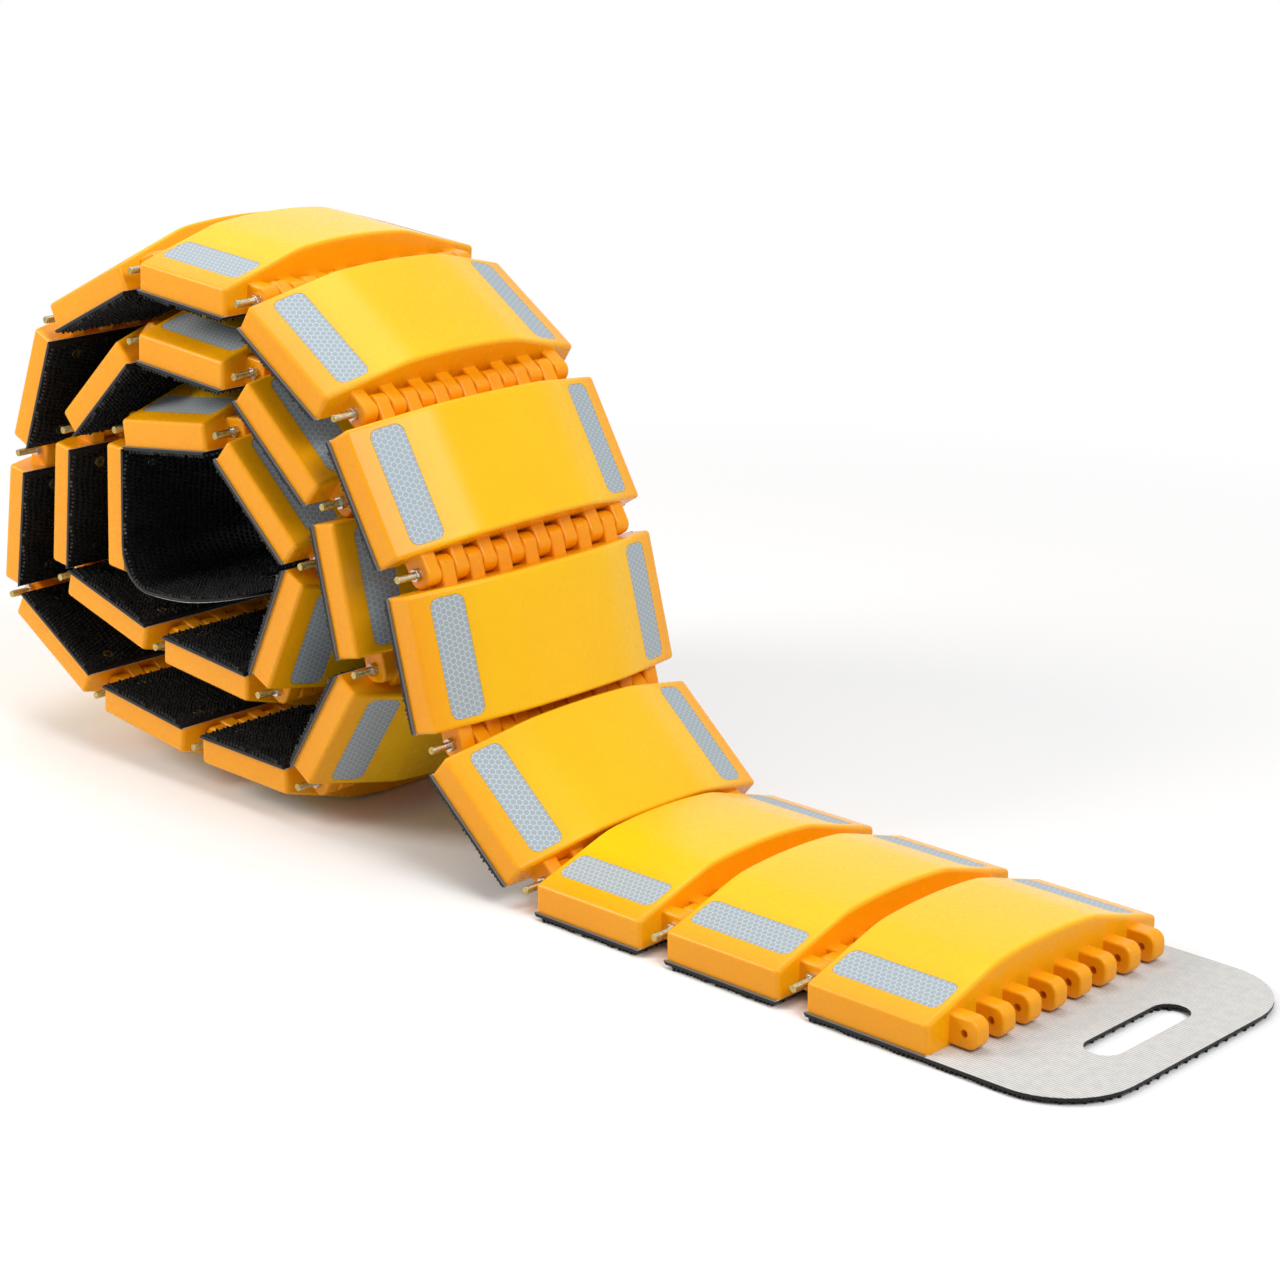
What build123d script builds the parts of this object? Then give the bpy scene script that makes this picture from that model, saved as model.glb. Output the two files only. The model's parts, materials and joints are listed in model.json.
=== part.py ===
"""Portable speed bump: moulded segments on bolted comb hinges, its tail laid out and the rest rolled up.

Millimetres and degrees. X runs along the strip with the tail at +X, Y across it, Z up from the floor.
A segment is drawn about the middle of its hinge line, lying flat: its tail hinge at +X, its crown up.
"""
import os
from math import cos, radians, sin, tan

from build123d import *

# Strip
PITCH = 115.0  # from one hinge axis to the next
WIDTH = 230.0
HINGE_GAP = 22.0  # between the end walls of two segments laid flat
LENGTH = PITCH - HINGE_GAP
HALF_LENGTH = LENGTH / 2
MAT_THICKNESS = 5.0
AXIS_ABOVE_BASE = 11.0  # hinge axis above the moulding's underside
AXIS_HEIGHT = AXIS_ABOVE_BASE + MAT_THICKNESS

# Bend of each hinge as the strip stands in the photograph, from the tail to the heart of the roll.
# A positive bend brings the crowns together, a negative one brings the mats together.
REST_BENDS = [
    0.0, 0.0, 40.8, 34.5, -15.7,
    -26.2, -29.2, -29.5, -41.7, -12.8,
    -69.7, -23.6, -5.9, -57.5, -46.9,
    -35.8, -36.5, -46.7, -40.2, -81.9,
    -10.2, -68.9, -74.5, -49.0, -78.8,
]

# Moulding, heights taken from the hinge axis
WALL_TOP = 8.0
SHOULDER_Y = 50.0
SHOULDER_TOP = 28.0
CROWN_TOP = 31.0
SHOULDER_ROUND = 80.0
EDGE_ROUND = 3.0

# Reflective inlays, one on each slope
INLAY_LENGTH = 82.0
INLAY_WIDTH = 25.0
INLAY_CORNER = 6.0
INLAY_Y = 89.0  # middle of the inlay from the middle of the strip
INLAY_THICKNESS = 0.3
RECESS_DEPTH = 0.4
RECESS_MARGIN = 0.2

# Comb hinge: the tail end of a segment carries the even places, its other end the odd ones
COMB_PLACES = 15
COMB_PITCH = 12.7
KNUCKLE_WIDTH = 12.3
KNUCKLE_REACH = 9.8  # from the axis to the knuckle's tip, top and underside
KNUCKLE_ROUND = 7.5
KNUCKLE_RIM = 2.0  # round of its edges on both sides
KNUCKLE_ROOT = 1.0  # how far a knuckle runs into the end wall
BORE_RADIUS = 2.55

# Hinge bolt and nut, M5
BOLT_RADIUS = 2.5
HEX_FLATS = 8.0
HEX_HEIGHT = 4.0
THREAD_REACH = 15.0  # free end of the bolt past its nut

# Grip mats, and the hand flaps that two of them run out into
MAT_WIDTH = 234.0
MAT_BEVEL = 3.8  # mats are cut back underneath, so that they close like a mitre
FLAP_LENGTH = 110.0  # past the end wall
FLAP_CORNER = 52.0
HAND_SLOT_LENGTH = 92.0
HAND_SLOT_WIDTH = 25.0
HAND_SLOT_X = 67.0  # middle of the slot from the end wall

# Tread on the underside of mats and flaps: ribs along the strip with grooves between them
TREAD_RIBS = 47
TREAD_PITCH = 5.0
TREAD_GROOVE = 2.0
TREAD_DEPTH = 2.0

# Inner flap, curled inside the roll: it peels off its segment and bends at lines across it
PEEL = 15.0
FLAP_STRIPS = [10.0, 10.0, 10.0, 10.0, 25.0, 39.0, 21.0]
FLAP_BENDS = [-22.0, -22.0, -22.0, -22.0, -8.0, -5.0, -4.0]
STRIP_GAP = 0.3
STRIP_UNDERCUT = 0.3  # the inner flap is this much thinner, to lie clear of its segment

PARTS_FOLDER = "parts"


def moulding_profile():
    """Section across the strip: upright side walls, flat slopes and a low crown."""
    half = WIDTH / 2
    base = -AXIS_ABOVE_BASE
    outline = Curve() + [
        Line((-half, base), (half, base)),
        Line((half, base), (half, WALL_TOP)),
        Line((half, WALL_TOP), (SHOULDER_Y, SHOULDER_TOP)),
        ThreePointArc((SHOULDER_Y, SHOULDER_TOP), (0, CROWN_TOP), (-SHOULDER_Y, SHOULDER_TOP)),
        Line((-SHOULDER_Y, SHOULDER_TOP), (-half, WALL_TOP)),
        Line((-half, WALL_TOP), (-half, base)),
    ]
    section = Sketch() + make_face(outline)
    section = fillet(corners_at(section, SHOULDER_TOP), SHOULDER_ROUND)
    return fillet(corners_at(section, WALL_TOP), EDGE_ROUND)


def corners_at(section, height):
    """Corners of a section at one height."""
    return [v for v in section.vertices() if abs(v.Y - height) < 0.01]


def end_edges(block):
    """Edges round both end walls, without the ones along the base."""
    return [
        e for e in block.edges()
        if abs(abs(e.center().X) - HALF_LENGTH) < 0.01 and e.center().Z > 0.1 - AXIS_ABOVE_BASE
    ]


def slope_plane(side):
    """Plane of one slope at the middle of its inlay, with x along the strip and z outwards."""
    run = WIDTH / 2 - SHOULDER_Y
    rise = SHOULDER_TOP - WALL_TOP
    height = WALL_TOP + (WIDTH / 2 - INLAY_Y) * rise / run
    return Plane(origin=(0, side * INLAY_Y, height), x_dir=(1, 0, 0), z_dir=(0, side * rise, run))


def inlay_recess(side):
    """Shallow pocket that an inlay is stuck in."""
    floor = slope_plane(side).offset(-RECESS_DEPTH)
    return extrude(floor * RectangleRounded(INLAY_LENGTH, INLAY_WIDTH, INLAY_CORNER), 2 * RECESS_DEPTH)


def inlay(side):
    """Reflective strip on the floor of its recess."""
    floor = slope_plane(side).offset(-RECESS_DEPTH)
    length = INLAY_LENGTH - 2 * RECESS_MARGIN
    width = INLAY_WIDTH - 2 * RECESS_MARGIN
    return extrude(floor * RectangleRounded(length, width, INLAY_CORNER), INLAY_THICKNESS)


def place_y(place):
    """Middle of one place of the comb across the strip."""
    return (place - (COMB_PLACES - 1) / 2) * COMB_PITCH


def knuckle():
    """Knuckle on the +X end wall, about its axis: a bored lug with softly rounded edges."""
    root = -HINGE_GAP / 2 - KNUCKLE_ROOT
    outline = Pos(root, 0) * Rectangle(
        KNUCKLE_REACH - root, 2 * KNUCKLE_REACH, align=(Align.MIN, Align.CENTER)
    )
    outline = fillet([v for v in outline.vertices() if v.X > 0], KNUCKLE_ROUND)
    lug = extrude(Plane.XZ * outline, KNUCKLE_WIDTH / 2, both=True)
    rim = [
        e for e in lug.edges()
        if abs(abs(e.center().Y) - KNUCKLE_WIDTH / 2) < 0.01 and e.center().X > root + 0.01
    ]
    return fillet(rim, KNUCKLE_RIM) - Rot(90, 0, 0) * Cylinder(BORE_RADIUS, KNUCKLE_WIDTH)


def comb(places):
    """Knuckles in the given places of the comb, for a hinge on the +X side."""
    lug = knuckle()
    return [Pos(PITCH / 2, place_y(k), 0) * lug for k in places]


def moulding():
    """One yellow segment with both of its combs."""
    block = extrude(Plane.YZ * moulding_profile(), HALF_LENGTH, both=True)
    block = fillet(end_edges(block), EDGE_ROUND)
    tail_comb = comb(range(0, COMB_PLACES, 2))
    roll_comb = [Rot(0, 0, 180) * lug for lug in comb(range(1, COMB_PLACES, 2))]
    return block + tail_comb + roll_comb - [inlay_recess(-1), inlay_recess(1)]


def hex_block(hole_radius):
    """Hexagon standing along Y from y = 0, with a hole where one is given."""
    outline = RegularPolygon(HEX_FLATS / 2, 6, major_radius=False)
    if hole_radius:
        outline -= Circle(hole_radius)
    return Rot(-90, 0, 0) * extrude(outline, HEX_HEIGHT)


def hinge_fixings():
    """Through bolt and nut of a segment's tail hinge, clamping the outer knuckles of its comb."""
    face = place_y(COMB_PLACES - 1) + KNUCKLE_WIDTH / 2
    tip = face + HEX_HEIGHT + THREAD_REACH
    shank = Rot(90, 0, 0) * Cylinder(BOLT_RADIUS, face + tip)
    bolt = Pos(0, (face - tip) / 2, 0) * shank + Pos(0, face, 0) * hex_block(0)
    nut = Pos(0, -face - HEX_HEIGHT, 0) * hex_block(BORE_RADIUS)
    return [Pos(PITCH / 2, 0, 0) * piece for piece in (bolt, nut)]


def across(points):
    """Solid as wide as a mat, from its side view."""
    return extrude(Plane.XZ * make_face(Polyline(*points, close=True)), MAT_WIDTH / 2, both=True)


def tread(underside):
    """Grooves between the ribs of a sheet with its underside at the given height."""
    rows = GridLocations(TREAD_PITCH, TREAD_DEPTH, TREAD_RIBS - 1, 1)
    grooves = Sketch() + rows * Rectangle(TREAD_GROOVE, 2 * TREAD_DEPTH)
    return Pos(0, 0, underside) * extrude(Plane.YZ * grooves, PITCH + FLAP_LENGTH, both=True)


def mat_block(tail_bevel=MAT_BEVEL, roll_bevel=MAT_BEVEL, roll_cut=0.0):
    """Rubber mat under one segment, without its tread; roll_cut is where it stops short of the roll-side end wall."""
    top = -AXIS_ABOVE_BASE
    low = -AXIS_HEIGHT
    roll_end = roll_cut - HALF_LENGTH
    return across([
        (roll_end, top), (HALF_LENGTH, top), (HALF_LENGTH - tail_bevel, low), (roll_end + roll_bevel, low),
    ])


def mats():
    """Mats of the tail segment, of a segment between the ends, and of the last segment."""
    flap = Pos(HALF_LENGTH, 0, -AXIS_HEIGHT) * extrude(flap_plan(), MAT_THICKNESS)
    blocks = [
        mat_block(tail_bevel=0.0) + flap,
        mat_block(),
        mat_block(roll_bevel=STRIP_GAP / 2 + bend_relief(FLAP_BENDS[0]), roll_cut=PEEL + STRIP_GAP / 2),
    ]
    return [block - tread(-AXIS_HEIGHT) for block in blocks]


def flap_plan(lead=0.0):
    """Plan of a hand flap along +X with its slot; lead is the length that runs under the segment."""
    length = lead + FLAP_LENGTH
    sheet = Rectangle(length, MAT_WIDTH, align=(Align.MIN, Align.CENTER))
    sheet = fillet([v for v in sheet.vertices() if v.X > length / 2], FLAP_CORNER)
    return sheet - Pos(lead + HAND_SLOT_X, 0) * SlotOverall(HAND_SLOT_LENGTH, HAND_SLOT_WIDTH, rotation=90)


def bend_relief(bend):
    """How far a strip of the inner flap is cut back under a bend line, beyond the gap between strips."""
    return MAT_THICKNESS / 2 * tan(radians(abs(bend) / 2))


def flap_strips():
    """Strips of the inner flap, each about the bend line it starts from and running along -X."""
    half = MAT_THICKNESS / 2
    gap = STRIP_GAP / 2
    top = half - STRIP_UNDERCUT
    sheet = Pos(0, 0, -half) * extrude(flap_plan(PEEL), MAT_THICKNESS) - tread(-half)
    strips = []
    start = 0.0
    for length, bend, next_bend in zip(FLAP_STRIPS, FLAP_BENDS, FLAP_BENDS[1:] + [0.0]):
        near, far = start + gap, start + length - gap
        side_view = [
            (near, top), (far, top), (far, 0), (far - bend_relief(next_bend), -half),
            (near + bend_relief(bend), -half), (near, 0),
        ]
        strips.append(Rot(0, 0, 180) * Pos(-start, 0, 0) * (sheet & across(side_view)))
        start += length
    return strips


def along(x, z, turn, distance):
    """Point a distance towards the heart of the roll from (x, z), on a piece turned by turn."""
    return x - distance * cos(radians(turn)), z + distance * sin(radians(turn))


def segment_places():
    """Middle of each segment as (x, z, turn), the tail segment flat with its tail hinge over x = 0."""
    places = []
    x, z, turn = 0.0, AXIS_HEIGHT, 0.0
    for bend in [0.0] + REST_BENDS:
        turn += bend
        x, z = along(x, z, turn, PITCH / 2)
        places.append((x, z, turn))
        x, z = along(x, z, turn, PITCH / 2)
    return places


def strip_places(last_segment):
    """Bend line of each strip of the inner flap as (x, z, turn)."""
    x, z, turn = last_segment
    drop = AXIS_ABOVE_BASE + MAT_THICKNESS / 2
    x, z = along(x, z, turn, HALF_LENGTH - PEEL)
    x, z = x - drop * sin(radians(turn)), z - drop * cos(radians(turn))
    places = []
    for length, bend in zip(FLAP_STRIPS, FLAP_BENDS):
        turn += bend
        places.append((x, z, turn))
        x, z = along(x, z, turn, length)
    return places


def at(place):
    """Location of a place in the side plane of the strip."""
    x, z, turn = place
    return Location((x, 0, z), (0, turn, 0))


def build_nodes():
    """Every node as its list of solids, with the hinge axes as (x, z)."""
    places = segment_places()
    curl = strip_places(places[-1])
    bare_segment = [moulding(), inlay(-1), inlay(1)]
    fixings = hinge_fixings()
    tail_mat, plain_mat, last_mat = mats()
    nodes = {}
    for number, place in enumerate(places, 1):
        solids = bare_segment if number == 1 else bare_segment + fixings
        sheet = tail_mat if number == 1 else last_mat if number == len(places) else plain_mat
        nodes[f"segment_{number:02d}"] = [at(place) * solid for solid in solids]
        nodes[f"grip_mat_{number:02d}"] = [at(place) * sheet]
    for number, (place, strip) in enumerate(zip(curl, flap_strips()), 1):
        nodes[f"inner_flap_{number}"] = [at(place) * strip]
    axes = [along(*place, -PITCH / 2) for place in places[1:]] + [(x, z) for x, z, turn in curl]
    return nodes, axes


def main():
    """Stand the strip with the middle of its box over the origin, and write one file a node."""
    nodes, axes = build_nodes()
    boxes = [solid.bounding_box() for solids in nodes.values() for solid in solids]
    low_x = min(box.min.X for box in boxes)
    high_x = max(box.max.X for box in boxes)
    shift_x = -(low_x + high_x) / 2
    os.makedirs(PARTS_FOLDER, exist_ok=True)
    for name, solids in nodes.items():
        placed = [Pos(shift_x, 0, 0) * solid for solid in solids]
        export_step(Compound(label=name, children=placed), os.path.join(PARTS_FOLDER, name + ".step"))
    print(f"length {high_x - low_x:.2f} lowest point {min(box.min.Z for box in boxes):.3f}")
    for number, (x, z) in enumerate(axes, 1):
        print(f"axis {number} {x + shift_x:.4f} {z:.4f}")


main()
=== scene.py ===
"""Looks of a portable speed bump, part rolled, dressed round its solids.

Sizes are in millimetres and become metres where a point enters the scene. A segment has its own frame: x
towards the tail of the strip, y across it, z out of its crown, from the middle of its hinge line. A rubber
sheet is described by s along the strip, y across it and a depth below its fabric face.
"""

import json
import math
import random

import bpy
import numpy as np
from mathutils import Matrix, Vector


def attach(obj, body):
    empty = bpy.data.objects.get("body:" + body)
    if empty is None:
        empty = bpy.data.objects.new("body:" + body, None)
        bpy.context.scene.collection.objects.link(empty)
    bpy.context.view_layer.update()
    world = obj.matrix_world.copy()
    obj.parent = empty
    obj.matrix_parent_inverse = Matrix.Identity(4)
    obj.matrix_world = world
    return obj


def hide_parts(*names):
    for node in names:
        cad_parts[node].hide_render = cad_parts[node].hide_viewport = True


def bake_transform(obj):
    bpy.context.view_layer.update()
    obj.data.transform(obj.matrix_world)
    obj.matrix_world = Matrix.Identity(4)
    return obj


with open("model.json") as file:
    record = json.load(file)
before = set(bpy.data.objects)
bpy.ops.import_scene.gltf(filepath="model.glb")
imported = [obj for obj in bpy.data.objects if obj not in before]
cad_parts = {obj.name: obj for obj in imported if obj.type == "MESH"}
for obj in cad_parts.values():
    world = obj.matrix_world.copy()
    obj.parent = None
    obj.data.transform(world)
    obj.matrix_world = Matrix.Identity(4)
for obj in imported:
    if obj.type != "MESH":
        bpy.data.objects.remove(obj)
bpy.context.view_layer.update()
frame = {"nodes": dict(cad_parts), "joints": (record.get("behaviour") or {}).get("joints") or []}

MM = 0.001
JOINTS = {joint["name"]: joint for joint in frame["joints"]}
SEGMENTS = sum(name.startswith("segment") for name in frame["nodes"])
STRIPS = sum(name.startswith("inner_flap") for name in frame["nodes"])

# Strip
PITCH = 115.0
HINGE_GAP = 22.0
HALF_LENGTH = (PITCH - HINGE_GAP) / 2
HALF_WIDTH = 115.0
AXIS_ABOVE_BASE = 11.0

# Slope of the crown and the reflective inlay on it
WALL_TOP = 8.0
SLOPE_RUN = 65.0
SLOPE_RISE = 20.0
INLAY_Y = 89.0
INLAY_HALF_LENGTH = 40.8
INLAY_HALF_WIDTH = 12.3
INLAY_DEPTHS = (0.05, 0.45)
HONEYCOMB_CELL = 4.2
CELLS_AHEAD = 50  # whole cells that keep the counting from crossing zero
CELL_LINE = (0.42, 0.46)  # where the line between two cells starts and is full, in cells from the middle

# Where the crown's painted light, a paler yellow, gives way to the walls' painted shade, a deeper orange:
# down the slope from the inlay, and along the segment
SHADE_FADE_DOWN = (-24.0, 32.0)
SHADE_FADE_ALONG = (44.5, 47.0)

# Hinge bolt and nut
BOLT_RADIUS = 2.5
HEX_REACH = 4.65
KNUCKLE_FACE = 95.05
NUT_FACE = 99.05
BOLT_TIP = 114.05
THREAD_PITCH = 0.8
THREAD_ROOT = 2.44
THREAD_CREST = 2.7
THREAD_HALF_FOOT = 0.42  # in thread pitches
THREAD_STEPS = 14

# How far the corners of a face, or a place along a sheet, may stray from its size and still belong to it
INLAY_SLACK = 0.05
BOLT_SLACK = 0.02
FACE_SLACK = 0.01
MARK_SLACK = 0.001
EVEN_SLACK = 1e-6

# Rubber sheets
MAT_HALF_WIDTH = 117.0
MAT_THICKNESS = 5.0
MAT_BEVEL = 3.8
PLY_DEPTH = 0.3
SHEET_DEPTH = 2.4  # without the nubs
FLAP_LENGTH = 110.0
FLAP_CORNER = 52.0
HAND_SLOT_LENGTH = 92.0
HAND_SLOT_WIDTH = 25.0
HAND_SLOT_X = 67.0
PEEL = 15.0  # length of the last mat that leaves its moulding with the inner flap
STRIP_UNDERCUT = 0.3  # by how much the inner flap is thinner than a mat
CURL_LEAD = 5.0  # how far before its first bend line the inner flap starts to curl
CURL_STEP = 1.5
ARC_STEP = 10  # degrees between lines round the corners of a flap and the ends of its slot

# Weave of the ply, and the darker rim of a mat's ply beside its moulding
CORD_PITCH = 2.2
CORD_SHARE = 0.85
WEAVE_PITCH = 1.3
WEAVE_SHARE = 0.15
RIM_WIDTH = 0.4
RIM_END_GAP = 0.1

# Nubs under the sheets, in wavy rows along the strip
ROWS = 47
ROW_PITCH = 5.0
NUB_PITCH = 3.2
NUB_RADIUS = 1.5
NUB_TIP_RADIUS = 0.95
NUB_SIDES = 6
NUB_MARGIN = 1.0
NUB_SCATTER_ALONG = 0.25
NUB_SCATTER_ACROSS = 0.3
NUB_SIZES = (0.85, 1.15)
NUB_WEAR = 0.4
FOOT_SINK = 0.3  # how far the foot of a nub or screw is let into the sheet
ROW_WAVE = 0.8
ROW_WAVE_LENGTH = 34.0
ROW_PHASE = 0.35
TAIL_SEED = 3
LAST_SEED = 5
PLAIN_SEED = 7
FLAP_SEED = 11

# Countersunk screws that hold a mat
SCREW_X = 33.0
SCREW_Y = 90.0
SCREW_RADIUS = 4.2
SCREW_DEPTH = 2.6
SCREW_FLARE = 0.5
CROSS_HALF_WIDTH = 0.55
CROSS_REACH = 2.2
CROSS_DEPTH = 0.9
CROSS_TAPER = 0.8

# Numbers of the materials on a sheet and on a segment
FABRIC, RUBBER, METAL = range(3)
PLASTIC_PART, TAPE_PART, NUT_PART, THREAD_PART = range(4)

# Colours, linear
# The crown's colours are painted light, a paler yellow; the walls' and knuckles' colours are painted shade, a
# deeper orange, of the same plastic.
LIT_CROWN_DEEP = (0.95, 0.540, 0.002, 1)
LIT_CROWN_LIGHT = (0.97, 0.562, 0.003, 1)
SHADED_WALL_DEEP = (0.92, 0.355, 0.002, 1)
SHADED_WALL_LIGHT = (0.94, 0.375, 0.003, 1)
TAPE_CELL = (0.29, 0.355, 0.40, 1)
TAPE_LINE = (0.57, 0.635, 0.675, 1)
RUBBER_DEEP = (0.002, 0.002, 0.0021, 1)
RUBBER_LIGHT = (0.007, 0.007, 0.0073, 1)
FABRIC_DARK = (0.41, 0.41, 0.40, 1)
FABRIC_LIGHT = (0.71, 0.71, 0.695, 1)
FABRIC_RIM = (0.16, 0.16, 0.155, 1)
ZINC_DARK = (0.42, 0.43, 0.43, 1)
ZINC_LIGHT = (0.68, 0.69, 0.70, 1)
YELLOW_ZINC_DARK = (0.32, 0.24, 0.07, 1)
YELLOW_ZINC_LIGHT = (0.58, 0.46, 0.17, 1)
WORN_ZINC_DARK = (0.10, 0.10, 0.10, 1)
WORN_ZINC_LIGHT = (0.20, 0.20, 0.19, 1)
FLOOR_COLOUR = (0.93, 0.93, 0.93, 1)
FLOOR_BOUNCE = (0.7, 0.7, 0.7, 1)
BACKDROP = (1, 1, 1, 1)

# Floor: its reach and the distances over which it fades to white, in metres, and its drop below the mats
FLOOR_REACH = 40.0
FLOOR_FADE = (0.6, 1.3)
FLOOR_BELOW = 0.2

# Strength of the surrounding light; place, aim and width in metres, watts and colour of each softbox
WORLD_LIGHT = 0.32
WHITE = (1.0, 1.0, 1.0)
WARM = (1.0, 0.92, 0.84)
SOFTBOXES = {
    "key": ((2.3, -0.3, 2.4), (-0.15, 0.0, 0.15), 1.8, 56.0, WHITE),
    "top": ((-0.5, 0.2, 3.0), (-0.2, 0.0, 0.1), 2.2, 34.0, WHITE),
    "left": ((-1.4, -1.4, 1.3), (-0.35, 0.0, 0.25), 1.0, 28.0, WARM),
}

# Camera, from the first hinge of the tail
IMAGE_SIZE = 1280.0
CAMERA_FROM_HINGE = (1109.7, -1404.7, 746.5)
CAMERA_YAW = 43.15
CAMERA_PITCH = 17.94
FOCAL_PIXELS = 3078.7
OPTICAL_CENTRE = (671.0, 678.2)
SENSOR = 36.0
CAMERA_REACH = 200.0  # metres

# Sockets of a Mix node, by what it mixes: first, second and result
MIX_SOCKETS = {"VECTOR": (4, 5, 1), "RGBA": (6, 7, 2)}
BEVEL_SAMPLES = 6


class Shader:
    """Nodes of a material or a world, with short ways to add and join them."""

    def __init__(self, owner):
        owner.use_nodes = True
        self.owner = owner
        self.tree = owner.node_tree

    @classmethod
    def of_material(cls, name):
        """Nodes of a new material."""
        return cls(bpy.data.materials.new(name))

    def feed(self, socket, value):
        """Join a socket to another node, or give it a constant."""
        if isinstance(value, bpy.types.NodeSocket):
            self.tree.links.new(value, socket)
        else:
            socket.default_value = value

    def node(self, kind, inputs=(), **settings):
        """New node of a kind; inputs is a list of socket and value."""
        made = self.tree.nodes.new("ShaderNode" + kind)
        for name, value in settings.items():
            setattr(made, name, value)
        for socket, value in inputs:
            self.feed(made.inputs[socket], value)
        return made

    def set(self, **inputs):
        """Values of the surface, with _ for a space in a name."""
        for name, value in inputs.items():
            self.feed(self.tree.nodes["Principled BSDF"].inputs[name.replace("_", " ")], value)

    def place(self):
        """Where a point is on its own object, in metres."""
        return self.node("TexCoord").outputs["Object"]

    def sheet_place(self, layer):
        """Flat coordinates kept with a mesh, in millimetres."""
        return self.node("UVMap", uv_map=layer).outputs["UV"]

    def noise(self, place, grain, detail=2.0):
        """Noise with grains of a size in millimetres."""
        return self.node(
            "TexNoise", [("Vector", place), ("Scale", 1 / (grain * MM)), ("Detail", detail)]
        ).outputs["Fac"]

    def span(self, value, low, high, start=0.3, stop=0.7):
        """Value between start and stop, moved to between low and high."""
        return self.node(
            "MapRange",
            [("Value", value), ("From Min", start), ("From Max", stop), ("To Min", low), ("To Max", high)],
        ).outputs["Result"]

    def mix(self, share, first, second, kind="RGBA"):
        """Colour between two colours, or vector between two vectors."""
        low, high, result = MIX_SOCKETS[kind]
        made = self.node("Mix", data_type=kind)
        for socket, value in ((0, share), (low, first), (high, second)):
            self.feed(made.inputs[socket], value)
        return made.outputs[result]

    def math(self, operation, *values):
        """Arithmetic on numbers."""
        return self.node("Math", list(enumerate(values)), operation=operation).outputs["Value"]

    def vector(self, operation, *values):
        """Arithmetic on vectors."""
        made = self.node("VectorMath", list(enumerate(values)), operation=operation)
        return made.outputs["Value" if operation in ("DOT_PRODUCT", "LENGTH") else "Vector"]

    def bump(self, height, strength, depth, normal=None):
        """Normal that a height gives; depth in millimetres."""
        inputs = [("Height", height), ("Strength", strength), ("Distance", depth * MM)]
        if normal is not None:
            inputs.append(("Normal", normal))
        return self.node("Bump", inputs).outputs["Normal"]

    def soft_edges(self, radius):
        """Normal that rounds edges by a radius in millimetres."""
        return self.node("Bevel", [("Radius", radius * MM)], samples=BEVEL_SAMPLES).outputs["Normal"]

    def seen(self):
        """1 for rays from the eye, from gloss and through glass, and 0 for those that carry light."""
        path = self.node("LightPath").outputs
        either = self.math("MAXIMUM", path["Is Camera Ray"], path["Is Glossy Ray"])
        return self.math("MAXIMUM", either, path["Is Transmission Ray"])

    def show(self, share, first, second):
        """Mix of two shaders, as what the owner shows."""
        made = self.node("MixShader", [(0, share), (1, first.outputs[0]), (2, second.outputs[0])])
        output = next(node for node in self.tree.nodes if node.bl_idname.startswith("ShaderNodeOutput"))
        self.feed(output.inputs["Surface"], made.outputs["Shader"])


def yellow_plastic():
    """Glossy moulded plastic, faintly clouded, with orange peel; the crown is paler yellow with painted
    light, walls and knuckles deeper orange with painted shade.
    """
    shader = Shader.of_material("yellow_moulding")
    place = shader.place()
    flat = shader.node("SeparateXYZ", [("Vector", shader.sheet_place("tape"))])
    # Mask of painted shade: towards the walls down the slope, and towards the knuckles at the segment's ends.
    side = shader.span(flat.outputs["Y"], 0, 1, *SHADE_FADE_DOWN)
    end = shader.span(shader.math("ABSOLUTE", flat.outputs["X"]), 0, 1, *SHADE_FADE_ALONG)
    painted_shade = shader.math("MAXIMUM", side, end)
    cloud = shader.span(shader.noise(place, grain=60, detail=3.0), 0, 1)
    peel = shader.noise(place, grain=0.9)
    smear = shader.noise(place, grain=5, detail=4.0)
    # Lit copy of the plastic for the crown, painted light; shaded copy for walls and knuckles, painted shade.
    lit_crown_colour = shader.mix(cloud, LIT_CROWN_DEEP, LIT_CROWN_LIGHT)
    shaded_wall_colour = shader.mix(cloud, SHADED_WALL_DEEP, SHADED_WALL_LIGHT)
    shader.set(
        Base_Color=shader.mix(painted_shade, lit_crown_colour, shaded_wall_colour),
        Roughness=shader.span(smear, low=0.26, high=0.28),
        Specular_IOR_Level=0.28,
        Subsurface_Weight=0.12,
        Subsurface_Radius=(1.0, 0.35, 0.05),
        Subsurface_Scale=2.5 * MM,
        Normal=shader.bump(peel, strength=0.015, depth=0.06, normal=shader.soft_edges(radius=0.8)),
    )
    return shader.owner


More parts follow.
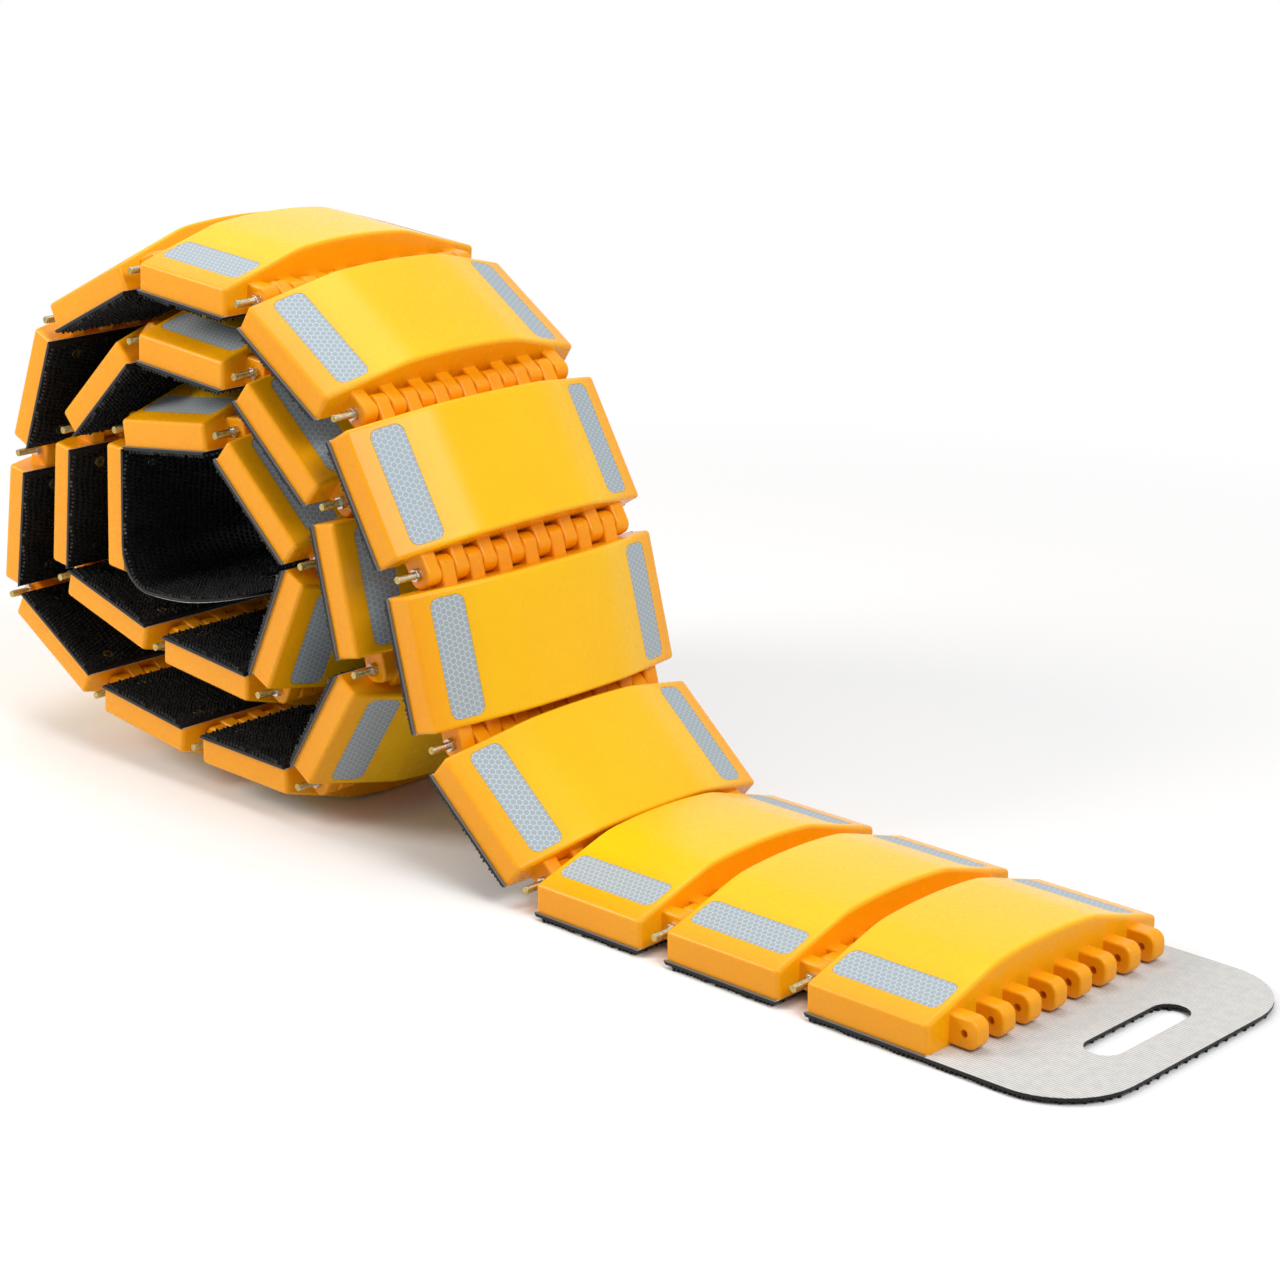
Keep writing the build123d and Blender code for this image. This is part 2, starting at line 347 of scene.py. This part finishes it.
def reflective_tape():
    """Honeycomb sheeting: pale cells sealed off by lighter lines."""
    shader = Shader.of_material("honeycomb_tape")
    flat = shader.sheet_place("tape")
    row = math.sqrt(3)
    period = (1.0, row, 1.0)
    half = (0.5, row / 2, 0.5)
    cells = shader.vector("DIVIDE", flat, (HONEYCOMB_CELL, HONEYCOMB_CELL, 1.0))
    cells = shader.vector("ADD", cells, (CELLS_AHEAD, CELLS_AHEAD * row, 0.0))
    first = shader.vector("SUBTRACT", shader.vector("MODULO", cells, period), half)
    shifted = shader.vector("ADD", cells, half)
    second = shader.vector("SUBTRACT", shader.vector("MODULO", shifted, period), half)
    flatten = (1.0, 1.0, 0.0)
    first = shader.vector("MULTIPLY", first, flatten)
    second = shader.vector("MULTIPLY", second, flatten)
    nearer = shader.math(
        "LESS_THAN", shader.vector("DOT_PRODUCT", first, first), shader.vector("DOT_PRODUCT", second, second)
    )
    corner = shader.vector("ABSOLUTE", shader.mix(nearer, second, first, "VECTOR"))
    across = shader.node("SeparateXYZ", [("Vector", corner)]).outputs["X"]
    reach = shader.math("MAXIMUM", across, shader.vector("DOT_PRODUCT", corner, (0.5, row / 2, 0.0)))
    line = shader.span(reach, 0, 1, *CELL_LINE)
    prism = shader.span(shader.noise(flat, grain=300), low=0, high=0.25)
    colour = shader.mix(line, shader.mix(prism, TAPE_CELL, TAPE_LINE), TAPE_LINE)
    shader.set(
        Base_Color=colour,
        Metallic=0.1,
        Roughness=shader.span(line, low=0.50, high=0.58, start=0.0, stop=1.0),
        Specular_IOR_Level=0.3,
        Normal=shader.bump(line, strength=0.25, depth=0.10),
    )
    return shader.owner


def grip_rubber():
    """Black rubber, dull and finely pitted."""
    shader = Shader.of_material("grip_rubber")
    place = shader.place()
    dust = shader.span(shader.noise(place, grain=14, detail=5.0), 0, 1)
    wear = shader.noise(place, grain=4, detail=3.0)
    pits = shader.noise(place, grain=0.7, detail=3.0)
    shader.set(
        Base_Color=shader.mix(dust, RUBBER_DEEP, RUBBER_LIGHT),
        Roughness=shader.span(wear, low=0.36, high=0.56),
        Specular_IOR_Level=0.3,
        Normal=shader.bump(pits, strength=0.35, depth=0.15),
    )
    return shader.owner


def ply_fabric():
    """Woven ply on the back of the rubber: pale cords and a finer weave, darker beside the mouldings."""
    shader = Shader.of_material("ply_fabric")
    flat = shader.sheet_place("place")
    parts = shader.node("SeparateXYZ", [("Vector", flat)])
    along, across = parts.outputs["X"], parts.outputs["Y"]
    cord = shader.math("SINE", shader.math("MULTIPLY", across, 2 * math.pi / CORD_PITCH))
    weave = shader.math("SINE", shader.math("MULTIPLY", along, 2 * math.pi / WEAVE_PITCH))
    cord = shader.math("MULTIPLY", cord, CORD_SHARE)
    weave = shader.math("MULTIPLY", weave, WEAVE_SHARE)
    cloth = shader.math("ADD", cord, weave)
    stain = shader.span(shader.noise(shader.place(), grain=6, detail=4.0), low=-0.25, high=0.25)
    shade = shader.span(shader.math("ADD", cloth, stain), 0, 1, start=-1.2, stop=0.9)
    pale = shader.mix(shade, FABRIC_DARK, FABRIC_LIGHT)
    beside = shader.span(shader.math("ABSOLUTE", across), 0, 1, HALF_WIDTH - RIM_WIDTH, HALF_WIDTH)
    rim = shader.math("MULTIPLY", beside, shader.math("LESS_THAN", along, HALF_LENGTH - RIM_END_GAP))
    shader.set(
        Base_Color=shader.mix(rim, pale, FABRIC_RIM),
        Roughness=0.85,
        Normal=shader.bump(cloth, strength=0.5, depth=0.25),
    )
    return shader.owner


def plated_metal(name, dark, light):
    """Plated steel, unevenly bright."""
    shader = Shader.of_material(name)
    place = shader.place()
    tarnish = shader.span(shader.noise(place, grain=3, detail=4.0), 0, 1)
    wear = shader.noise(place, grain=1.5, detail=3.0)
    grain = shader.noise(place, grain=0.5)
    shader.set(
        Base_Color=shader.mix(tarnish, dark, light),
        Metallic=1.0,
        Roughness=shader.span(wear, low=0.16, high=0.32),
        Normal=shader.bump(grain, strength=0.08, depth=0.05, normal=shader.soft_edges(radius=0.3)),
    )
    return shader.owner


def studio_floor():
    """Pale, dull sweep that keeps the shadow near the strip and fades to white away from it.

    It throws back less light than it shows, as a floor cut out of a photograph does.
    """
    shader = Shader.of_material("studio_floor")
    place = shader.place()
    paper = shader.noise(place, grain=2, detail=3.0)
    seen = shader.seen()
    shader.set(
        Base_Color=shader.mix(seen, FLOOR_BOUNCE, FLOOR_COLOUR),
        Roughness=0.9,
        Normal=shader.bump(paper, strength=0.02, depth=0.1),
    )
    away = shader.vector("LENGTH", place)
    share = shader.math("MULTIPLY", seen, shader.span(away, 0, 1, *FLOOR_FADE))
    white = shader.node("Emission", [("Color", BACKDROP), ("Strength", 1.0)])
    shader.show(share, shader.tree.nodes["Principled BSDF"], white)
    return shader.owner


class Patch:
    """Mesh in the making: points with flat coordinates, and faces with a finish."""

    def __init__(self, put, mirrored=False):
        self.put = put
        self.mirrored = mirrored
        self.points = []
        self.flat = []
        self.faces = []
        self.finishes = []

    def point(self, s, y, depth):
        """Number of a new point of the sheet."""
        self.points.append(self.put(s, y, depth))
        self.flat.append((s, y))
        return len(self.points) - 1

    def face(self, corners, finish):
        """New face, seen from outside with its corners anticlockwise."""
        self.faces.append(corners[::-1] if self.mirrored else corners)
        self.finishes.append(finish)

    def mesh(self, name, materials):
        """Finished mesh with its materials."""
        made = bpy.data.meshes.new(name)
        made.from_pydata(self.points, [], self.faces)
        for material in materials:
            made.materials.append(material)
        made.polygons.foreach_set("material_index", self.finishes)
        corners = [self.flat[loop.vertex_index] for loop in made.loops]
        layer = made.uv_layers.new(name="place")
        layer.data.foreach_set("uv", [value for corner in corners for value in corner])
        made.update()
        return made


class Plan:
    """Outline of a rubber sheet: where its rounded end and its hand slot are, if it has them."""

    def __init__(self, end=None, slot=None):
        self.end = end
        self.slot = slot

    def half_width(self, s):
        """Half the sheet's width at s."""
        run = 0.0 if self.end is None else min(max(s - self.end + FLAP_CORNER, 0.0), FLAP_CORNER)
        return MAT_HALF_WIDTH - FLAP_CORNER + math.sqrt(FLAP_CORNER**2 - run**2)

    def slot_half(self, s):
        """Half the slot's length at s, or that of its straight part away from it."""
        radius = HAND_SLOT_WIDTH / 2
        off = min(abs(s - self.slot), radius)
        return HAND_SLOT_LENGTH / 2 - radius + math.sqrt(radius**2 - off**2)

    def in_slot(self, s, margin=0.0):
        """True where the slot, grown by a margin, is open at s."""
        return self.slot is not None and abs(s - self.slot) < HAND_SLOT_WIDTH / 2 + margin

    def holds(self, s, y, margin):
        """True for a point of the sheet that is further than a margin from its sides."""
        if abs(y) > self.half_width(s + margin) - margin:
            return False
        return not (self.in_slot(s, margin) and abs(y) < self.slot_half(s) + margin)

    def columns(self, s):
        """Lines across the sheet at s: its sides, and the ends of the slot between them."""
        half = self.half_width(s)
        if self.slot is None:
            return [-half, half]
        inner = self.slot_half(s)
        return [-half, -inner, inner, half]

    def stations(self, start, stop, step):
        """Places along the sheet where a line of points runs across it."""
        count = max(1, round((stop - start) / step))
        marks = [start + (stop - start) * k / count for k in range(count + 1)]
        turns = [math.sin(math.radians(angle)) for angle in range(-90, 91, ARC_STEP)]
        if self.slot is not None:
            marks += [self.slot + HAND_SLOT_WIDTH / 2 * turn for turn in turns]
        if self.end is not None:
            marks += [self.end - FLAP_CORNER + FLAP_CORNER * turn for turn in turns if turn > 0]
        kept = [mark for mark in marks if start - MARK_SLACK <= mark <= stop + MARK_SLACK]
        return sorted({round(mark, 3) for mark in kept})


def add_sheet(patch, plan, stations, start_cut=0.0, stop_cut=0.0):
    """Closed sheet: fabric down to the ply's depth, rubber below; cuts are slants of its two ends."""
    depths = (0.0, PLY_DEPTH, SHEET_DEPTH)
    last = len(stations) - 1
    slants = {0: start_cut, last: -stop_cut}
    numbers = {}

    def corner(i, j, level):
        key = (i, j, level)
        if key not in numbers:
            s = stations[i]
            depth = depths[level]
            cut = slants.get(i, 0.0) * depth
            numbers[key] = patch.point(s + cut, plan.columns(s)[j], depth)
        return numbers[key]

    columns = len(plan.columns(stations[0]))
    cells = {
        (i, j)
        for i in range(last)
        for j in range(columns - 1)
        if not (j == 1 and plan.in_slot((stations[i] + stations[i + 1]) / 2))
    }
    for i, j in sorted(cells):
        ring = [(i, j), (i + 1, j), (i + 1, j + 1), (i, j + 1)]
        patch.face([corner(*at, 0) for at in ring], FABRIC)
        patch.face([corner(*at, 2) for at in reversed(ring)], RUBBER)
        beyond = [(i, j - 1), (i + 1, j), (i, j + 1), (i - 1, j)]
        for side in range(4):
            if beyond[side] in cells:
                continue
            near, far = ring[(side + 1) % 4], ring[side]
            for level, finish in ((0, FABRIC), (1, RUBBER)):
                upper = [corner(*near, level), corner(*far, level)]
                lower = [corner(*far, level + 1), corner(*near, level + 1)]
                patch.face(upper + lower, finish)


def add_stud(patch, s, y, rings, sides, turn, finish):
    """Round stud standing out of the sheet, as rings of radius and depth from its foot to its flat top."""
    loops = []
    for radius, depth in rings:
        angles = [turn + 2 * math.pi * k / sides for k in range(sides)]
        loops.append([patch.point(s + radius * math.cos(a), y + radius * math.sin(a), depth) for a in angles])
    for foot, head in zip(loops, loops[1:]):
        for k in range(sides):
            patch.face([foot[k], head[k], head[k - 1], foot[k - 1]], finish)
    patch.face(loops[-1][::-1], finish)


def add_nubs(patch, plan, start, stop, tip, draw, clear=()):
    """Rows of rubber nubs between two places along the sheet, away from the screws."""
    for row in range(ROWS):
        offset = NUB_PITCH * (row % 2) / 2
        for k in range(math.ceil((start - offset) / NUB_PITCH), math.ceil((stop - offset) / NUB_PITCH)):
            s = offset + k * NUB_PITCH + draw.uniform(-NUB_SCATTER_ALONG, NUB_SCATTER_ALONG)
            wave = ROW_WAVE * math.sin(2 * math.pi * s / ROW_WAVE_LENGTH + row * ROW_PHASE)
            scatter = draw.uniform(-NUB_SCATTER_ACROSS, NUB_SCATTER_ACROSS)
            y = (row - (ROWS - 1) / 2) * ROW_PITCH + wave + scatter
            size = draw.uniform(*NUB_SIZES)
            height = tip - draw.uniform(0.0, NUB_WEAR)
            turn = draw.uniform(0, math.pi)
            blocked = any(math.hypot(s - a, y - b) < SCREW_RADIUS + NUB_RADIUS for a, b in clear)
            if blocked or not plan.holds(s, y, NUB_MARGIN):
                continue
            rings = [(NUB_RADIUS * size, SHEET_DEPTH - FOOT_SINK), (NUB_TIP_RADIUS * size, height)]
            add_stud(patch, s, y, rings, NUB_SIDES, turn, RUBBER)


def add_screw(patch, s, y):
    """Countersunk screw with a cross recess, sunk among the nubs."""
    arm, reach = CROSS_HALF_WIDTH, CROSS_REACH
    quarter = [(reach, -arm), (reach, arm), (arm, arm)]
    cross = []
    for _ in range(4):
        cross += quarter
        quarter = [(-b, a) for a, b in quarter]
    count = len(cross)
    rim_angles = [math.atan2(b, a) for a, b in cross]
    foot, rim, edge, floor = [], [], [], []
    for (a, b), angle in zip(cross, rim_angles):
        out = (math.cos(angle), math.sin(angle))
        wide = SCREW_RADIUS + SCREW_FLARE
        foot.append(patch.point(s + wide * out[0], y + wide * out[1], SHEET_DEPTH - FOOT_SINK))
        rim.append(patch.point(s + SCREW_RADIUS * out[0], y + SCREW_RADIUS * out[1], SCREW_DEPTH))
        edge.append(patch.point(s + a, y + b, SCREW_DEPTH))
        floor.append(patch.point(s + a * CROSS_TAPER, y + b * CROSS_TAPER, SCREW_DEPTH - CROSS_DEPTH))
    for outer, inner in ((foot, rim), (rim, edge), (edge, floor)):
        for k in range(count):
            patch.face([outer[k], inner[k], inner[k - 1], outer[k - 1]], METAL)
    patch.face(floor[::-1], METAL)


def axis_of(name):
    """Point on a joint's axis, in the middle of the strip."""
    return Vector(JOINTS[name]["pos_m"])


def rest_bend(name):
    """Bend of a joint of the roll as it stands, in degrees: the joint's far limit is where it is flat."""
    return -max(JOINTS[name]["range_deg"], key=abs)


def swung(previous, point, bend, length):
    """Point a length past another, along a line that turns there by a bend about Y."""
    ahead = Matrix.Rotation(math.radians(bend), 3, "Y") @ (point - previous).normalized()
    return point + ahead * length


def strip_points():
    """Hinge axes from the free comb at the tail to the far end of the last segment."""
    hinges = [axis_of(f"hinge_{k:02d}") for k in range(1, SEGMENTS)]
    tail = hinges[0] + Vector((PITCH * MM, 0, 0))
    last = swung(hinges[-2], hinges[-1], rest_bend(f"hinge_{SEGMENTS - 1:02d}"), PITCH * MM)
    return [tail] + hinges + [last]


def segment_frame(tail_hinge, roll_hinge):
    """Matrix of a segment between its two hinges."""
    along = (tail_hinge - roll_hinge).normalized()
    out = Vector((-along.z, 0, along.x))
    turn = Matrix((along, Vector((0, 1, 0)), out)).transposed()
    return Matrix.Translation((tail_hinge + roll_hinge) / 2) @ turn.to_4x4()


def shown(name, mesh):
    """New object with a mesh."""
    made = bpy.data.objects.new(name, mesh)
    bpy.context.scene.collection.objects.link(made)
    return made


def dress_segment(number, place, materials):
    """Give the faces of a segment their materials, and its inlays flat coordinates for their honeycomb."""
    mesh = frame["nodes"][f"segment_{number:02d}"].data
    mesh.materials.clear()
    for material in materials:
        mesh.materials.append(material)
    points = np.empty(3 * len(mesh.vertices), np.float32)
    mesh.vertices.foreach_get("co", points)
    turn = np.array(place.to_3x3())
    local = (points.reshape(-1, 3) - np.array(place.translation)) @ turn / MM
    loops = np.empty(len(mesh.loops), np.int32)
    mesh.loops.foreach_get("vertex_index", loops)
    corners = local[loops].reshape(-1, 3, 3)
    x, y, z = corners[..., 0], corners[..., 1], corners[..., 2]

    finish = np.full(len(corners), PLASTIC_PART, np.int32)
    from_axis = np.hypot(x - PITCH / 2, z).max(1)
    bolt = from_axis < BOLT_RADIUS + BOLT_SLACK
    hexagon = (from_axis < HEX_REACH) & (np.abs(y).min(1) > KNUCKLE_FACE - FACE_SLACK)
    finish[bolt | hexagon] = NUT_PART
    finish[bolt & (y.max(1) < FACE_SLACK - NUT_FACE)] = THREAD_PART

    length = math.hypot(SLOPE_RUN, SLOPE_RISE)
    height = WALL_TOP + (HALF_WIDTH - INLAY_Y) * SLOPE_RISE / SLOPE_RUN
    side_y, side_z = np.abs(y) - INLAY_Y, z - height
    depth = -(side_y * SLOPE_RISE + side_z * SLOPE_RUN) / length
    down = (side_y * SLOPE_RUN - side_z * SLOPE_RISE) / length
    tape = (
        (np.abs(x).max(1) < INLAY_HALF_LENGTH + INLAY_SLACK)
        & (np.abs(down).max(1) < INLAY_HALF_WIDTH + INLAY_SLACK)
        & (depth.min(1) > INLAY_DEPTHS[0])
        & (depth.max(1) < INLAY_DEPTHS[1])
    )
    finish[tape] = TAPE_PART
    mesh.polygons.foreach_set("material_index", finish)
    layer = mesh.uv_layers.new(name="tape")
    layer.data.foreach_set("uv", np.stack([x, down], -1).astype(np.float32).ravel())
    mesh.update()


def under_segment(s, y, depth):
    """Point of a flat sheet under a segment, in the segment's frame."""
    return Vector((s, y, -AXIS_ABOVE_BASE - depth)) * MM


def mat_mesh(name, plan, ends, cuts, materials, seed):
    """Mat under a segment, with nubs and screws; cuts are how far its ends slant in over its thickness."""
    start, stop = ends
    start_cut, stop_cut = cuts
    patch = Patch(under_segment)
    stations = plan.stations(start, stop, stop - start)
    add_sheet(patch, plan, stations, start_cut / MAT_THICKNESS, stop_cut / MAT_THICKNESS)
    screws = [(x, y) for x in (-SCREW_X, SCREW_X) for y in (-SCREW_Y, SCREW_Y) if start < x < stop]
    for screw in screws:
        add_screw(patch, *screw)
    nub_start = start + start_cut + NUB_TIP_RADIUS
    nub_stop = stop - stop_cut - NUB_TIP_RADIUS
    add_nubs(patch, plan, nub_start, nub_stop, MAT_THICKNESS, random.Random(seed), screws)
    return patch.mesh(name, materials)


def lay_mats(places, materials):
    """Mat of every segment: the tail's runs out into a flap, the last stops where the inner flap curls."""
    tail_plan = Plan(HALF_LENGTH + FLAP_LENGTH, HALF_LENGTH + HAND_SLOT_X)
    tail_ends = (-HALF_LENGTH, tail_plan.end)
    last_ends = (PEEL + CURL_LEAD - HALF_LENGTH, HALF_LENGTH)
    plain_ends = (-HALF_LENGTH, HALF_LENGTH)
    tail = mat_mesh("tail_mat", tail_plan, tail_ends, (MAT_BEVEL, 0.0), materials, TAIL_SEED)
    last = mat_mesh("last_mat", Plan(), last_ends, (0.0, MAT_BEVEL), materials, LAST_SEED)
    plain = mat_mesh("plain_mat", Plan(), plain_ends, (MAT_BEVEL, MAT_BEVEL), materials, PLAIN_SEED)
    meshes = {1: tail, SEGMENTS: last}
    for number, place in enumerate(places, 1):
        mat = shown(f"mat_{number:02d}", meshes.get(number, plain))
        mat.matrix_world = place
        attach(mat, f"segment_body_{number:02d}")
        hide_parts(f"grip_mat_{number:02d}")


class Curl:
    """Stretch of the inner flap round one bend line, from the middle of one strip to that of the next."""

    def __init__(self, points, marks):
        self.points = points
        self.marks = marks

    def share(self, s):
        """How far along the bend a place on the sheet is, from 0 to 1 and beyond."""
        first, middle, last = self.marks
        a = first - 2 * middle + last
        b = 2 * (middle - first)
        c = first - s
        if s > last:
            return 1 + (s - last) / (2 * (last - middle))
        if abs(a) < EVEN_SLACK:
            return -c / b
        return (math.sqrt(b * b - 4 * a * c) - b) / (2 * a)

    def put(self, s, y, depth):
        """Point of the sheet in the scene."""
        first, middle, last = self.points
        t = self.share(s)
        ahead = (middle - first).lerp(last - middle, min(t, 1.0)).normalized()
        if t > 1:
            spot = last + (last - middle) * 2 * (t - 1)
        else:
            spot = first.lerp(middle, t).lerp(middle.lerp(last, t), t)
        out = Vector((ahead.z, 0, -ahead.x))
        rise = MAT_THICKNESS / 2 - STRIP_UNDERCUT - depth
        return spot + out * rise * MM + Vector((0, y * MM, 0))


def lay_inner_flap(last_place, materials):
    """Hand flap at the heart of the roll, one piece for each bend line."""
    bends = [axis_of(f"flap_bend_{k}") for k in range(1, STRIPS + 1)]
    plan = Plan(PEEL + FLAP_LENGTH, PEEL + HAND_SLOT_X)
    lengths = [(b - a).length / MM for a, b in zip(bends, bends[1:])]
    lengths.append(plan.end - sum(lengths))
    starts = [sum(lengths[:k]) for k in range(STRIPS)]
    inwards = -(last_place.to_3x3() @ Vector((1, 0, 0)))
    end = swung(bends[-2], bends[-1], rest_bend(f"flap_bend_{STRIPS}"), lengths[-1] * MM)
    mids = [bends[0] - inwards * CURL_LEAD * MM]
    mids += [a.lerp(b, 0.5) for a, b in zip(bends, bends[1:] + [end])]
    marks = [-CURL_LEAD] + [start + length / 2 for start, length in zip(starts, lengths)]
    draw = random.Random(FLAP_SEED)
    for k in range(STRIPS):
        curl = Curl((mids[k], bends[k], mids[k + 1]), (marks[k], starts[k], marks[k + 1]))
        stop = plan.end if k == STRIPS - 1 else marks[k + 1]
        patch = Patch(curl.put, mirrored=True)
        add_sheet(patch, plan, plan.stations(marks[k], stop, CURL_STEP))
        add_nubs(patch, plan, marks[k], stop, MAT_THICKNESS - STRIP_UNDERCUT, draw)
        piece = shown(f"hand_flap_{k + 1}", patch.mesh(f"hand_flap_{k + 1}", materials))
        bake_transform(piece)
        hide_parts(f"inner_flap_{k + 1}")


def thread_mesh(material):
    """Helical ridge on the free end of a hinge bolt, in the frame of its segment."""
    start, stop = -NUT_FACE - THREAD_PITCH / 2, THREAD_PITCH / 2 - BOLT_TIP
    turns = (start - stop) / THREAD_PITCH
    points, faces = [], []
    foot = THREAD_HALF_FOOT
    for k in range(round(turns * THREAD_STEPS) + 1):
        angle = 2 * math.pi * k / THREAD_STEPS
        y = start - THREAD_PITCH * k / THREAD_STEPS
        for radius, shift in ((THREAD_ROOT, foot), (THREAD_CREST, 0.0), (THREAD_ROOT, -foot)):
            x, z = PITCH / 2 + radius * math.cos(angle), radius * math.sin(angle)
            points.append(Vector((x, y + shift * THREAD_PITCH, z)) * MM)
        if k:
            a, b = 3 * (k - 1), 3 * k
            faces += [(a, b, b + 1, a + 1), (a + 1, b + 1, b + 2, a + 2)]
    made = bpy.data.meshes.new("thread")
    made.from_pydata(points, [], faces)
    made.materials.append(material)
    made.update()
    return made


def cut_threads(places, material):
    """Threads of the twenty-five hinge bolts."""
    mesh = thread_mesh(material)
    for number, place in enumerate(places[1:], 2):
        thread = shown(f"thread_{number:02d}", mesh)
        thread.matrix_world = place
        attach(thread, f"segment_body_{number:02d}")


def lay_floor(material):
    """Wide floor under the strip."""
    reach = FLOOR_REACH
    made = bpy.data.meshes.new("floor")
    corners = [(-reach, -reach, 0), (reach, -reach, 0), (reach, reach, 0), (-reach, reach, 0)]
    made.from_pydata(corners, [], [(0, 1, 2, 3)])
    made.materials.append(material)
    floor = shown("floor", made)
    floor.location.z = -FLOOR_BELOW * MM


def light_world():
    """White surroundings to the eye and in reflections, and an even light from them."""
    world = bpy.data.worlds.new("studio")
    shader = Shader(world)
    lamp = shader.tree.nodes["Background"]
    for socket, value in (("Color", BACKDROP), ("Strength", WORLD_LIGHT)):
        shader.feed(lamp.inputs[socket], value)
    backdrop = shader.node("Background", [("Color", BACKDROP), ("Strength", 1.0)])
    shader.show(shader.seen(), lamp, backdrop)
    bpy.context.scene.world = world


def hang_lamps():
    """Soft studio light from the front, from above and a little from the left."""
    for name, (spot, aim, width, power, colour) in SOFTBOXES.items():
        lamp = bpy.data.lights.new(name, "AREA")
        lamp.shape = "DISK"
        lamp.size = width
        lamp.energy = power
        lamp.color = colour
        made = bpy.data.objects.new(name, lamp)
        made.location = spot
        made.rotation_euler = (Vector(aim) - Vector(spot)).to_track_quat("-Z", "Y").to_euler()
        bpy.context.scene.collection.objects.link(made)


def set_camera():
    """Camera at the photograph's viewpoint."""
    camera = bpy.data.cameras.new("camera")
    camera.sensor_width = SENSOR
    camera.lens = FOCAL_PIXELS * SENSOR / IMAGE_SIZE
    camera.shift_x = 0.5 - OPTICAL_CENTRE[0] / IMAGE_SIZE
    camera.shift_y = OPTICAL_CENTRE[1] / IMAGE_SIZE - 0.5
    camera.clip_end = CAMERA_REACH
    made = bpy.data.objects.new("camera", camera)
    made.location = axis_of("hinge_01") + Vector(CAMERA_FROM_HINGE) * MM
    made.rotation_euler = (math.radians(90 - CAMERA_PITCH), 0, math.radians(CAMERA_YAW))
    bpy.context.scene.collection.objects.link(made)
    bpy.context.scene.camera = made


zinc = plated_metal("zinc", ZINC_DARK, ZINC_LIGHT)
yellow_zinc = plated_metal("yellow_zinc", YELLOW_ZINC_DARK, YELLOW_ZINC_LIGHT)
segment_materials = [yellow_plastic(), reflective_tape(), zinc, yellow_zinc]
worn_zinc = plated_metal("worn_zinc", WORN_ZINC_DARK, WORN_ZINC_LIGHT)
sheet_materials = [ply_fabric(), grip_rubber(), worn_zinc]

points = strip_points()
places = [segment_frame(tail, roll) for tail, roll in zip(points, points[1:])]
for number, place in enumerate(places, 1):
    dress_segment(number, place, segment_materials)
lay_mats(places, sheet_materials)
lay_inner_flap(places[-1], sheet_materials)
cut_threads(places, yellow_zinc)
lay_floor(studio_floor())
light_world()
hang_lamps()
set_camera()
bpy.context.scene.view_settings.view_transform = "Standard"
